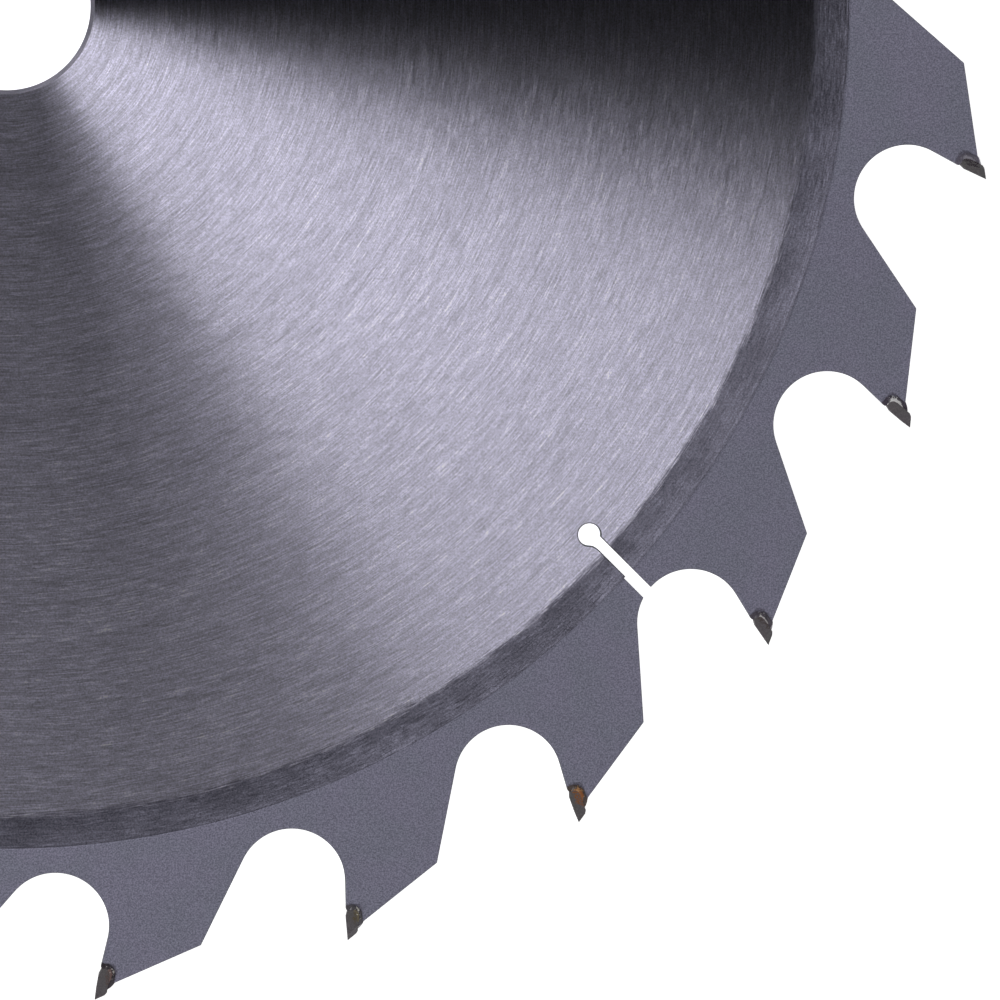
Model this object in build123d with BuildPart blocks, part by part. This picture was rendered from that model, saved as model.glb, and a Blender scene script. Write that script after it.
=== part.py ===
from build123d import *
import os
from math import cos, radians, sin, tan

# Circular saw blade with brazed carbide tips, for wood, cutting a 190 mm circle on a 16 mm arbor.
# Origin at the centre of the bore, halfway through the plate. +Z is the bore's axis, out of the face shown.
# Seen from +Z the blade turns clockwise, so each cutting face looks that way round.
# Millimetres and degrees.

# Blade
blade_diameter = 190.0
kerf = 2.6
tooth_count = 24
first_tooth_angle = -10.05

# Plate, thickest in the brushed hub disc, thinning over the ground band to the blasted tooth zone
hub_thickness = 1.7
hub_diameter = 154.0
band_diameter = 160.4
band_edge_thickness = 1.64
band_step_width = 0.15
rim_thickness = 1.6

# Bore
bore_diameter = 16.0
bore_chamfer = 0.4

# Carbide tip, measured along its cutting face and behind it
tip_length = 3.06
tip_thickness = 1.05
hook_angle = 15.0
relief_angle = 18.5
bevel_angle = 15.0
radial_clearance = 1.0
tangential_clearance = 2.5
toe_chamfer_length = 0.66
toe_chamfer_depth = 0.22
tip_corner_cut = 0.2
tip_corner_radius = 0.45

# Seat of the tip and the braze in it
braze_gap = 0.12
toe_setback = 0.06
heel_drop = 1.58
heel_braze_run = 0.55
heel_braze_climb = 0.4
heel_braze_hollow = 0.06
bead_reach = 0.5
bead_crest_reach = 0.15
bead_setback = 0.2

# Back of the tooth, shoulder and gullet
land_length = 9.52
gullet_radius = 5.12
gullet_depth = 7.28
gullet_lead = 3.1

# Expansion slots, each from a relief hole out to the bottom of a gullet
slot_count = 4
first_slot_tooth = 2
slot_width = 1.2
slot_hole_diameter = 2.15
slot_hole_place = 74.92
slot_hole_lead = 2.89
slot_lean = 4.95
slot_burr = 0.2
slot_throat_radius = 1.3

# Worked out from the sizes above
tip_radius = blade_diameter / 2
pitch = 360 / tooth_count
hub_half = hub_thickness / 2
rim_half = rim_thickness / 2
seat_back = tip_thickness + braze_gap
seat_floor = -(tip_length + braze_gap)
back_slope = relief_angle + hook_angle
bead_height = (kerf - rim_thickness) / 2 - bead_setback

# Plane of a tip in the tooth that points along +X: x out along the cutting face, y back behind it
tip_plane = Plane(
    origin=(tip_radius, 0, 0),
    x_dir=(cos(radians(hook_angle)), -sin(radians(hook_angle)), 0),
)

# Corners of the tip and its seat, in the tip's plane
tip_toe = Vector(-tip_length, toe_chamfer_depth)
seat_toe = Vector(seat_floor, toe_setback)
seat_corner = Vector(seat_floor, seat_back)
seat_heel = Vector(-heel_drop, seat_back)
land_direction = Vector(-sin(radians(back_slope)), cos(radians(back_slope)))
braze_foot = seat_heel + land_direction * heel_braze_run
braze_top = Vector(heel_braze_climb - heel_drop, tip_thickness)


def in_blade(corner):
    """Blade coordinates of a corner given in the tip's plane."""
    return tip_plane.from_local_coords(corner)


def on_next_tooth(point):
    """The same place on the next tooth, clockwise."""
    return point.rotate(Axis.Z, -pitch)


# Side view of a carbide tip: cutting face, toe chamfer, rounded inner corner, back and relieved top
with BuildSketch(tip_plane) as tip_profile:
    top_slope = tan(radians(back_slope))
    top_end = tip_thickness - tip_corner_cut
    back_top = (-tip_thickness * top_slope - tip_corner_cut, tip_thickness)
    with BuildLine():
        FilletPolyline(tip_toe, (-tip_length, tip_thickness), back_top, radius=tip_corner_radius)
        Polyline(
            back_top,
            (-top_end * top_slope, top_end),
            (0, 0),
            (toe_chamfer_length - tip_length, 0),
            tip_toe,
        )
    make_face()

# Edge of the plate from the toe of one seat, round the gullet and over the next tooth's back, to the next toe
shoulder = in_blade(seat_heel + land_direction * land_length)
gullet_centre = Vector(tip_radius - gullet_depth, -gullet_lead)
with BuildLine() as tooth_edge:
    bowl = CenterArc(gullet_centre, gullet_radius, 0, 360, mode=Mode.PRIVATE)
    face = ConstrainedLines(bowl, in_blade(seat_toe), selector=lambda lines: lines.sort_by(Axis.Y)[-1])
    slope = ConstrainedLines(bowl, on_next_tooth(shoulder), selector=lambda lines: lines.sort_by(Axis.X)[0])
    face_root = face.vertices().sort_by_distance(gullet_centre)[0]
    slope_root = slope.vertices().sort_by_distance(gullet_centre)[0]
    RadiusArc(face_root, slope_root, -gullet_radius)
    Line(on_next_tooth(shoulder), on_next_tooth(in_blade(seat_heel)))
    FilletPolyline(
        *(on_next_tooth(in_blade(corner)) for corner in (seat_heel, seat_corner, seat_toe)),
        radius=tip_corner_radius + braze_gap,
    )

# Expansion slot of the tooth along +X, narrowed on one side by the burr that grinding left in the ground zone
slot_plane = Plane(
    origin=((slot_hole_place**2 - slot_hole_lead**2) ** 0.5, -slot_hole_lead, 0),
    x_dir=(cos(radians(slot_lean)), -sin(radians(slot_lean)), 0),
)
with BuildSketch(slot_plane) as slot:
    slot_end = (gullet_centre - slot_plane.origin).length
    burr_end = band_diameter / 2 - slot_hole_place
    with BuildLine():
        Polyline(
            (0, slot_width / 2),
            (slot_end, slot_width / 2),
            (slot_end, -slot_width / 2),
            (burr_end, -slot_width / 2),
            (burr_end, slot_burr - slot_width / 2),
            (0, slot_burr - slot_width / 2),
            close=True,
        )
    make_face()
    Circle(slot_hole_diameter / 2)
    throat = slot.vertices().sort_by_distance((slot_hole_diameter / 2, slot_burr - slot_width / 2))[0]
    fillet(throat, slot_throat_radius)

# Outline of the plate, all teeth round
slot_teeth = [first_slot_tooth + round(i * tooth_count / slot_count) for i in range(slot_count)]
slot_turns = [first_tooth_angle - tooth * pitch for tooth in slot_teeth]
with BuildSketch() as outline:
    with BuildLine():
        with PolarLocations(0, tooth_count, start_angle=first_tooth_angle):
            add(tooth_edge.line)
    make_face()
    with Locations(*(Location((0, 0, 0), (0, 0, turn)) for turn in slot_turns)):
        add(slot.sketch, mode=Mode.SUBTRACT)

with BuildPart() as plate:
    with BuildSketch(Plane.XZ):
        band_radius = band_diameter / 2
        with BuildLine():
            Polyline(
                (bore_diameter / 2, 0),
                (bore_diameter / 2, hub_half),
                (hub_diameter / 2, hub_half),
                (band_radius, band_edge_thickness / 2),
                (band_radius + band_step_width, rim_half),
                (tip_radius, rim_half),
                (tip_radius, 0),
                close=True,
            )
        make_face()
    revolve(axis=Axis.Z)
    mirror(about=Plane.XY)
    bore_edges = plate.edges().filter_by(GeomType.CIRCLE).group_by(SortBy.RADIUS)[0]
    chamfer(bore_edges, bore_chamfer)
    extrude(outline.sketch, amount=hub_thickness, both=True, mode=Mode.INTERSECT)
os.makedirs("parts", exist_ok=True)
plate.part.label = "plate"
export_step(plate.part, "parts/plate.step")


def top_bevel(side):
    """Plane that a tip's top is ground to, highest on the given side, 1 for +Z or -1 for -Z."""
    lean = radians(bevel_angle)
    fall = radians(relief_angle)
    normal = (cos(fall) * cos(lean), sin(fall) * cos(lean), -side * sin(lean))
    return Plane(origin=(tip_radius, 0, side * kerf / 2), z_dir=normal)


def carbide_tip(side):
    """Carbide tip of the tooth along +X, with both flanks and its top ground.

    Its flanks narrow towards the blade's centre and towards the tip's back.
    """
    with BuildPart() as tip:
        extrude(tip_profile.sketch, amount=kerf / 2, both=True)
        for flank in (1, -1):
            narrowing = (-flank * tangential_clearance, -flank * radial_clearance, 0)
            split(
                bisect_by=tip_plane.offset(flank * kerf / 2).rotated(narrowing),
                keep=Keep.BOTTOM if flank == 1 else Keep.TOP,
            )
        split(bisect_by=top_bevel(side), keep=Keep.BOTTOM)
    return tip.part


# Braze between the tip and its seat, with the small rise at the heel
with BuildSketch(tip_plane) as braze_layer:
    with BuildLine():
        FilletPolyline(seat_toe, seat_corner, seat_heel, radius=tip_corner_radius + braze_gap)
        Line(seat_heel, braze_foot)
        SagittaArc(braze_foot, braze_top, heel_braze_hollow)
        Polyline(braze_top, tip_toe, seat_toe)
    make_face()
    add(tip_profile.sketch_local, mode=Mode.SUBTRACT)

# Part of a tooth's side that the braze may wet, bounded by the tooth's edges
with BuildSketch(tip_plane) as wetted_side:
    spread = 4 * bead_reach
    face_below_toe = tip_plane.to_local_coords(Vector(face_root))
    with BuildLine():
        Polyline(
            tip_toe,
            seat_toe,
            face_below_toe,
            face_below_toe + Vector(0, tip_thickness + spread),
            seat_heel + land_direction * spread,
            braze_foot,
        )
        SagittaArc(braze_foot, braze_top, heel_braze_hollow)
        Line(braze_top, tip_toe)
    make_face()

# Bead of braze along the tip on each side of the plate, under the tip's overhang, flat round the inner corner
with BuildPart() as bead:
    for height, reach in ((rim_half, bead_reach), (rim_half + bead_height, bead_crest_reach)):
        with BuildSketch(tip_plane.offset(height)):
            with BuildLine():
                Polyline(
                    (0, 0),
                    tip_toe,
                    (-tip_length, tip_thickness - tip_corner_radius),
                    (tip_corner_radius - tip_length, tip_thickness),
                    back_top,
                    close=True,
                )
            make_face()
            offset(amount=reach, kind=Kind.INTERSECTION)
    loft(ruled=True)
    mirror(about=Plane.XY)
    extrude(wetted_side.sketch, amount=kerf, both=True, mode=Mode.INTERSECT)
    extrude(tip_profile.sketch, amount=kerf, both=True, mode=Mode.SUBTRACT)


def braze(side):
    """Braze of the tooth along +X, ground off level with its tip's top."""
    with BuildPart() as filler:
        extrude(braze_layer.sketch, amount=rim_half, both=True)
        add(bead.part)
        split(bisect_by=top_bevel(side), keep=Keep.BOTTOM)
    return filler.part


# High corner of the tip's top on the far side at the first tooth, then on alternate sides
bevel_sides = (-1, 1)
ground_tips = {side: carbide_tip(side) for side in bevel_sides}
ground_brazes = {side: braze(side) for side in bevel_sides}
for tooth in range(tooth_count):
    side = bevel_sides[tooth % len(bevel_sides)]
    turn = (0, 0, first_tooth_angle - tooth * pitch)
    with BuildPart() as tip:
        add(ground_tips[side], rotation=turn)
    tip.part.label = f"tip_{tooth + 1:02d}"
    export_step(tip.part, f"parts/{tip.part.label}.step")
    with BuildPart() as filler:
        add(ground_brazes[side], rotation=turn)
    filler.part.label = f"braze_{tooth + 1:02d}"
    export_step(filler.part, f"parts/{filler.part.label}.step")
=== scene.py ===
"""Circular saw blade with brazed carbide tips, dressed in steel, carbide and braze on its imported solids.

The blade's sizes are in millimetres and its meshes are made in metres, in the frame of the solids. +Z is the
bore's axis, out of the face shown, and the blade lies on the corners of its tips. Azimuths are in degrees,
clockwise from +X as seen from above, which is the way that the teeth are numbered.

In the finishes a fineness is a noise's lumps to the millimetre, levels are the noise's values between which
something sets in, and tones and strengths are factors.
"""

import logging
from dataclasses import dataclass
from enum import Enum
from math import acos, asin, atan2, cos, degrees, pi, radians, sin, sqrt, tan

import bpy
from mathutils import Matrix, Vector

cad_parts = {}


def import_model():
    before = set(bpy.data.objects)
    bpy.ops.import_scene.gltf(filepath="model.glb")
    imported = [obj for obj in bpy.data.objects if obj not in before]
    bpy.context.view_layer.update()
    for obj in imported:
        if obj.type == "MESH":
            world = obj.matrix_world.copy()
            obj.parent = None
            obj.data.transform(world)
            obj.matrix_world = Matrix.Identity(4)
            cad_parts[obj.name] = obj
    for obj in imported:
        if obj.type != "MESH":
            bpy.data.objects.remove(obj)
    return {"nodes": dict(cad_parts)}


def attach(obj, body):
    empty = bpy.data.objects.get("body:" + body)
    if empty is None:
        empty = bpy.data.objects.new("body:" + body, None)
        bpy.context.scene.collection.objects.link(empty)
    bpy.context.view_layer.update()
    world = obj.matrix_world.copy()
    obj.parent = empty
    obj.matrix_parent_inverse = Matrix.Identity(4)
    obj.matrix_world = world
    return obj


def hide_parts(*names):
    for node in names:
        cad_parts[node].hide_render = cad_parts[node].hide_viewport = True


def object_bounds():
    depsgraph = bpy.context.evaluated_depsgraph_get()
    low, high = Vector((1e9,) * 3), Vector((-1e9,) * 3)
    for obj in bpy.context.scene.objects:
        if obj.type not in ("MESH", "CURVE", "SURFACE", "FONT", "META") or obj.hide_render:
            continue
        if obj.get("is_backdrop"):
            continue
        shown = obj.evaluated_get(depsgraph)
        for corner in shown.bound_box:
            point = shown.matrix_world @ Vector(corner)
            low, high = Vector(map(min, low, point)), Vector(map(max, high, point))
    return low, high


LOG = logging.getLogger("saw_blade")
MM = 0.001

Socket = bpy.types.NodeSocket
Outputs = bpy.types.NodeOutputs
Feeds = dict[str | int, object]
Value = Socket | float | tuple[float, ...]
Span = tuple[Value, Value]
Colour = tuple[float, float, float]
Material = bpy.types.Material
Piece = bpy.types.Object

# What a ramp gives at its two ends where it falls from 1 to 0
FALL: Span = (1.0, 0.0)

# How far apart the noises of two seeds are read
SEED_STEP = (17.3, -9.1, 5.7)

# How many lumps to the millimetre fray the edges of the marks round the braze
FRAY_FINENESS = 1.6

# How many looks further on each row of teeth starts, where a row has one tooth for each look of the braze
ROW_SHIFT = 2


# Node sheets


@dataclass(frozen=True)
class Whereabouts:
    """Where a shaded point is, as sockets: place in millimetres, radius, and the ways out and round."""

    place: Socket
    radius: Socket
    outward: Socket
    round: Socket


class NodeSheet:
    """A shader or geometry tree, written a formula at a time."""

    def __init__(self, tree: bpy.types.NodeTree) -> None:
        """Takes the tree that the nodes go into."""
        self.tree = tree

    def feed(self, socket: Socket, value: object) -> None:
        """Links a socket, or sets its own value.

        Args:
            socket: The input to fill.
            value: Another node's output, or a plain value. A colour may come without its alpha.
        """
        if isinstance(value, bpy.types.NodeSocket):
            self.tree.links.new(value, socket)
        elif socket.type == "RGBA" and len(value) == 3:
            socket.default_value = (*value, 1.0)
        else:
            socket.default_value = value

    def add(self, kind: str, feeds: Feeds | None = None, **settings: object) -> bpy.types.Node:
        """Adds a node.

        Args:
            kind: The node's type in Blender.
            feeds: What its inputs take, by name or number.
            settings: Its own properties.

        Returns:
            The new node.
        """
        node = self.tree.nodes.new(kind)
        for name, value in settings.items():
            setattr(node, name, value)
        for key, value in (feeds or {}).items():
            self.feed(node.inputs[key], value)
        return node

    def result(self, kind: str, feeds: Feeds | None = None, **settings: object) -> Socket:
        """Adds a node and gives its first output. See add."""
        return self.add(kind, feeds, **settings).outputs[0]

    def math(self, operation: str, *terms: Value) -> Socket:
        """One step of arithmetic on one to three numbers."""
        return self.result("ShaderNodeMath", dict(enumerate(terms)), operation=operation)

    def plus(self, first: Value, second: Value) -> Socket:
        """The sum of two numbers."""
        return self.math("ADD", first, second)

    def minus(self, first: Value, second: Value) -> Socket:
        """The first number less the second."""
        return self.math("SUBTRACT", first, second)

    def times(self, first: Value, second: Value) -> Socket:
        """The product of two numbers."""
        return self.math("MULTIPLY", first, second)

    def larger(self, first: Value, second: Value) -> Socket:
        """The larger of two numbers."""
        return self.math("MAXIMUM", first, second)

    def per(self, size: Value) -> Socket:
        """How often a size goes into 1."""
        return self.math("DIVIDE", 1.0, size)

    def vector(self, operation: str, *terms: Value) -> Socket:
        """One step of arithmetic on one or two vectors."""
        return self.result("ShaderNodeVectorMath", dict(enumerate(terms)), operation=operation)

    def scaled(self, vector: Value, factor: Value) -> Socket:
        """A vector times a number."""
        return self.result("ShaderNodeVectorMath", {0: vector, "Scale": factor}, operation="SCALE")

    def length(self, vector: Value) -> Socket:
        """A vector's length."""
        return self.add("ShaderNodeVectorMath", {0: vector}, operation="LENGTH").outputs["Value"]

    def split(self, vector: Socket) -> tuple[Socket, ...]:
        """X, Y and Z of a vector."""
        return tuple(self.add("ShaderNodeSeparateXYZ", {0: vector}).outputs)

    def join(self, x: Value, y: Value, z: Value = 0.0) -> Socket:
        """A vector of X, Y and Z."""
        return self.result("ShaderNodeCombineXYZ", {0: x, 1: y, 2: z})

    def ramp(self, value: Value, span: Span, to: Span = (0.0, 1.0)) -> Socket:
        """A smooth step.

        Args:
            value: The number that is ramped.
            span: Where the step begins and ends.
            to: The results below and above it.

        Returns:
            The stepped number.
        """
        feeds = dict(enumerate((value, *span, *to)))
        return self.result("ShaderNodeMapRange", feeds, interpolation_type="SMOOTHSTEP")

    def ridge(self, value: Value, start: float, middle: float, end: float) -> Socket:
        """A smooth hump that is 1 in the middle and 0 outside its start and end."""
        return self.times(self.ramp(value, (start, middle)), self.ramp(value, (middle, end), FALL))

    def blend(self, share: Value, first: Value, second: Value) -> Socket:
        """The first colour, with the given share of the second."""
        return self.add("ShaderNodeMix", {"Factor": share, 6: first, 7: second}, data_type="RGBA").outputs[2]

    def noise(
        self, place: Value, fineness: Value, seed: int, detail: float = 2.0, roughness: float = 0.6
    ) -> Socket:
        """Smooth noise about 0.5.

        Args:
            place: Where the noise is read.
            fineness: How many of its lumps there are to the place's unit.
            seed: Which noise.
            detail: How many finer layers it holds.
            roughness: How strong they are.

        Returns:
            The noise.
        """
        apart = self.vector("ADD", self.scaled(place, fineness), tuple(part * seed for part in SEED_STEP))
        feeds = {"Vector": apart, "Scale": 1.0, "Detail": detail, "Roughness": roughness}
        return self.result("ShaderNodeTexNoise", feeds)

    def stray(self, value: Value, noise: Socket, reach: float) -> Socket:
        """A number moved by noise about 0.5, as far as the noise is from 0.5 times the reach."""
        return self.math("MULTIPLY_ADD", self.minus(noise, 0.5), reach, value)

    def whereabouts(self) -> Whereabouts:
        """Reads the object's own coordinates."""
        place = self.scaled(self.add("ShaderNodeTexCoord").outputs["Object"], 1 / MM)
        flat = self.vector("MULTIPLY", place, (1.0, 1.0, 0.0))
        outward = self.vector("NORMALIZE", flat)
        onward = self.vector("CROSS_PRODUCT", (0.0, 0.0, 1.0), outward)
        return Whereabouts(place, self.length(flat), outward, onward)


def new_material(name: str) -> tuple[Material, NodeSheet]:
    """An empty material and its sheet."""
    material = bpy.data.materials.new(name)
    material.use_nodes = True
    material.node_tree.nodes.clear()
    return material, NodeSheet(material.node_tree)


# The shape of a tooth


@dataclass(frozen=True)
class ToothShape:
    """One tooth that points along +X, in millimetres and degrees: tip, seat, gullet, back and slot."""

    teeth: int = 24
    first_tooth: float = -10.05
    tip_radius: float = 95.0
    tip_length: float = 3.06
    tip_thickness: float = 1.05
    corner_round: float = 0.45
    hook: float = 15.0
    back_slope: float = 33.5
    braze_gap: float = 0.12
    seat_toe: float = 0.06
    heel_drop: float = 1.58
    land: float = 9.52
    gullet: tuple[float, float] = (87.72, -3.1)
    gullet_radius: float = 5.12
    slot_end: tuple[float, float] = (74.864, -2.89)
    slot_lean: float = 4.95
    slot_hole: float = 1.075
    slot_half: float = 0.6
    slot_burr: float = 0.2
    burr_end: float = 5.28
    throat_round: float = 1.3
    gullet_step: float = 3.0
    corner_step: float = 9.0
    slot_step: float = 7.0

    @property
    def pitch(self) -> float:
        """Angle from tooth to tooth, in degrees."""
        return 360 / self.teeth

    def on_tooth(self, out: float, back: float) -> Vector:
        """A point given out along the cutting face from its corner and back behind it."""
        lean = radians(self.hook)
        x = self.tip_radius + out * cos(lean) + back * sin(lean)
        return Vector((x, back * cos(lean) - out * sin(lean)))

    def on_next(self, point: Vector) -> Vector:
        """The same point on the next tooth, clockwise."""
        return Matrix.Rotation(-radians(self.pitch), 2) @ point

    def touch(self, point: Vector, side: int) -> float:
        """Angle round the gullet at which a line from a point touches it, on one side or the other."""
        away = point - Vector(self.gullet)
        return atan2(away.y, away.x) + side * acos(self.gullet_radius / away.length)

    @staticmethod
    def arc(centre: Vector, radius: float, start: float, end: float, step: float) -> list[Vector]:
        """Points along an arc.

        Args:
            centre: The arc's centre.
            radius: Its radius.
            start: The angle that it starts at, in radians.
            end: The angle that it ends at, counter-clockwise from the start if it is greater.
            step: About how many degrees the points are apart.

        Returns:
            The points, both ends with them.
        """
        count = max(2, round(abs(degrees(end - start)) / step))
        turns = [start + (end - start) * i / count for i in range(count + 1)]
        return [centre + radius * Vector((cos(turn), sin(turn))) for turn in turns]

    def inner_corner(self, gap: float = 0.0) -> list[Vector]:
        """The tip's rounded inner corner in its own plane, or a line round it at a gap."""
        centre = Vector((self.corner_round - self.tip_length, self.tip_thickness - self.corner_round))
        return self.arc(centre, self.corner_round + gap, pi / 2, pi, self.corner_step)

    def seat(self) -> list[Vector]:
        """Heel, rounded inner corner and toe of the seat."""
        heel = Vector((-self.heel_drop, self.tip_thickness + self.braze_gap))
        toe = Vector((-self.tip_length - self.braze_gap, self.seat_toe))
        return [self.on_tooth(*point) for point in (heel, *self.inner_corner(self.braze_gap), toe)]

    def slot(self) -> list[Vector]:
        """Edge of the slot from the gullet, in and round its end hole, and out to the gullet again."""
        lean = radians(self.slot_lean)
        along, across = Vector((cos(lean), -sin(lean))), Vector((sin(lean), cos(lean)))
        start = Vector(self.slot_end)

        def mouth(side: float) -> float:
            """How far out along the slot a side meets the gullet."""
            away = Vector(self.gullet) - start
            return away.dot(along) - sqrt(self.gullet_radius**2 - (side - away.dot(across)) ** 2)

        top, low = self.slot_half, -self.slot_half
        burred, hole, turn = low + self.slot_burr, self.slot_hole, self.throat_round
        throat = Vector((sqrt((hole + turn) ** 2 - (burred - turn) ** 2), burred - turn))
        swing = atan2(throat.y, throat.x)
        local = [Vector((mouth(top), top))]
        local += self.arc(Vector((0, 0)), hole, asin(top / hole), 2 * pi + swing, self.slot_step)
        local += self.arc(throat, turn, swing + pi, pi / 2, self.slot_step)[1:]
        local += [Vector((self.burr_end, burred)), Vector((self.burr_end, low)), Vector((mouth(low), low))]
        return [start + point.x * along + point.y * across for point in local]

    def bowl(self, start: float, end: float) -> list[Vector]:
        """Points round the gullet from one angle to another."""
        return self.arc(Vector(self.gullet), self.gullet_radius, start, end, self.gullet_step)

    def edge(self, slotted: bool) -> list[Vector]:
        """Edge from the toe of one seat, round the gullet and over the next tooth's back, to the next toe.

        Args:
            slotted: Whether a slot opens into the gullet.

        Returns:
            Its points.
        """
        heel, *seat = self.seat()
        slope = radians(self.back_slope)
        down, behind = self.heel_drop + self.land * sin(slope), self.land * cos(slope)
        shoulder = self.on_next(self.on_tooth(-down, self.tip_thickness + self.braze_gap + behind))
        face_root, slope_root = self.touch(seat[-1], 1), self.touch(shoulder, -1) + 2 * pi
        if slotted:
            cut = self.slot()
            mouths = (cut[0] - Vector(self.gullet), cut[-1] - Vector(self.gullet))
            entry, leave = (atan2(mouth.y, mouth.x) % (2 * pi) for mouth in mouths)
            bowl = self.bowl(face_root, entry)[:-1] + cut + self.bowl(leave, slope_root)[1:]
        else:
            bowl = self.bowl(face_root, slope_root)
        return [seat[-1], *bowl, shoulder, *(self.on_next(point) for point in (heel, *seat))]


# Effects that several finishes share


class Effect:
    """A shader node group that finishes share. Each kind says what goes in and out, and writes the nodes."""

    title: str
    takes: dict[str, float]
    gives: dict[str, str]

    def write(self, sheet: NodeSheet, given: Outputs) -> dict[str, Socket]:
        """Writes the group's nodes.

        Args:
            sheet: The group's sheet.
            given: The group's inputs.

        Returns:
            The group's results by name.
        """
        raise NotImplementedError

    def tree(self) -> bpy.types.ShaderNodeTree:
        """The group, built when it is first asked for."""
        made = bpy.data.node_groups.get(self.title)
        if made is None:
            made = bpy.data.node_groups.new(self.title, "ShaderNodeTree")
            for name, value in self.takes.items():
                taken = made.interface.new_socket(name, in_out="INPUT", socket_type="NodeSocketFloat")
                taken.default_value = value
            for name, kind in self.gives.items():
                made.interface.new_socket(name, in_out="OUTPUT", socket_type="NodeSocket" + kind)
            sheet = NodeSheet(made)
            sheet.add("NodeGroupOutput", dict(self.write(sheet, sheet.add("NodeGroupInput").outputs)))
        return made

    def place(self, sheet: NodeSheet, **values: Value) -> Outputs:
        """Puts the group into a material.

        Args:
            sheet: The material's sheet.
            values: What its inputs take here, by name with _ for a space.

        Returns:
            Its outputs.
        """
        node = sheet.add("ShaderNodeGroup", node_tree=self.tree())
        for name, value in values.items():
            sheet.feed(node.inputs[name.replace("_", " ").capitalize()], value)
        return node.outputs


@dataclass(frozen=True)
class MarkLayer:
    """One layer of brush marks: how many marks long and wide its own are, and its seed."""

    length: float
    width: float
    seed: int


class BrushMarks(Effect):
    """Short light and dark marks round the blade, in patches, with fine grain and the tilt that they cut."""

    title = "Brush marks"
    takes = {"Length": 2.0, "Width": 0.3, "Grain": 0.17, "Tilt out": 0.1, "Tilt round": 0.1}
    gives = {"Marks": "Float", "Grain": "Float", "Bands": "Float", "Normal": "Vector"}
    short_marks: MarkLayer = MarkLayer(1.0, 1.0, 1)
    long_marks: MarkLayer = MarkLayer(2.0, 0.8, 2)
    tilting_marks: MarkLayer = MarkLayer(0.8, 0.9, 3)
    wide_bands: MarkLayer = MarkLayer(8.0, 5.0, 4)
    long_share: float = 0.5
    light_levels: Span = (0.51, 0.71)
    light_strength: float = 1.3
    dark_levels: Span = (0.49, 0.29)
    dark_strength: float = 0.8
    patch_fineness: float = 0.6
    patch_levels: Span = (0.35, 0.6)
    patch_strengths: Span = (0.8, 1.0)

    def write(self, sheet: NodeSheet, given: Outputs) -> dict[str, Socket]:
        """Reads noise drawn out along circles about the bore. See Effect.write."""
        where = sheet.whereabouts()
        x, y, _ = sheet.split(where.place)

        def drawn_out(layer: MarkLayer, detail: float) -> Socket:
            """The noise of a layer."""
            along = sheet.times(given["Length"], layer.length)
            across = sheet.times(given["Width"], layer.width)
            parts = ((x, along), (y, along), (where.radius, across))
            place = sheet.join(*(sheet.math("DIVIDE", *part) for part in parts))
            return sheet.noise(place, 1.0, layer.seed, detail)

        def streaks(layer: MarkLayer) -> Socket:
            """Light marks less dark ones, and nothing in between."""
            noise = drawn_out(layer, 1.0)
            light = sheet.ramp(noise, self.light_levels, (0.0, self.light_strength))
            return sheet.minus(light, sheet.ramp(noise, self.dark_levels, (0.0, self.dark_strength)))

        patches = sheet.noise(where.place, self.patch_fineness, seed=7)
        patches = sheet.ramp(patches, self.patch_levels, self.patch_strengths)
        both = sheet.plus(streaks(self.short_marks), sheet.times(streaks(self.long_marks), self.long_share))
        marks = sheet.times(both, patches)
        tilts = sheet.times(streaks(self.tilting_marks), patches)
        turned = sheet.add("ShaderNodeNewGeometry").outputs["Normal"]
        for way, tilt, amount in ((where.outward, marks, "Tilt out"), (where.round, tilts, "Tilt round")):
            turned = sheet.vector("ADD", turned, sheet.scaled(way, sheet.times(tilt, given[amount])))
        return {
            "Marks": marks,
            "Grain": sheet.minus(sheet.noise(where.place, sheet.per(given["Grain"]), seed=9), 0.5),
            "Bands": sheet.minus(drawn_out(self.wide_bands, 2.0), 0.5),
            "Normal": sheet.vector("NORMALIZE", turned),
        }


class BlastGrain(Effect):
    """Fine pitting of a blasted or sintered surface, with faint clouds of tone, and a bumped normal."""

    title = "Blasted grain"
    takes = {"Grain": 0.15, "Depth": 0.3}
    gives = {"Speckle": "Float", "Clouds": "Float", "Normal": "Vector"}
    pit_depth: float = 0.02
    cloud_fineness: float = 0.22

    def write(self, sheet: NodeSheet, given: Outputs) -> dict[str, Socket]:
        """Reads noise of the grain's size. See Effect.write."""
        place = sheet.whereabouts().place
        speckle = sheet.noise(place, sheet.per(given["Grain"]), seed=5, roughness=0.65)
        feeds = {"Strength": given["Depth"], "Distance": self.pit_depth * MM, "Height": speckle}
        return {
            "Speckle": speckle,
            "Clouds": sheet.noise(place, self.cloud_fineness, seed=6, detail=3.0, roughness=0.55),
            "Normal": sheet.result("ShaderNodeBump", feeds),
        }


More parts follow.
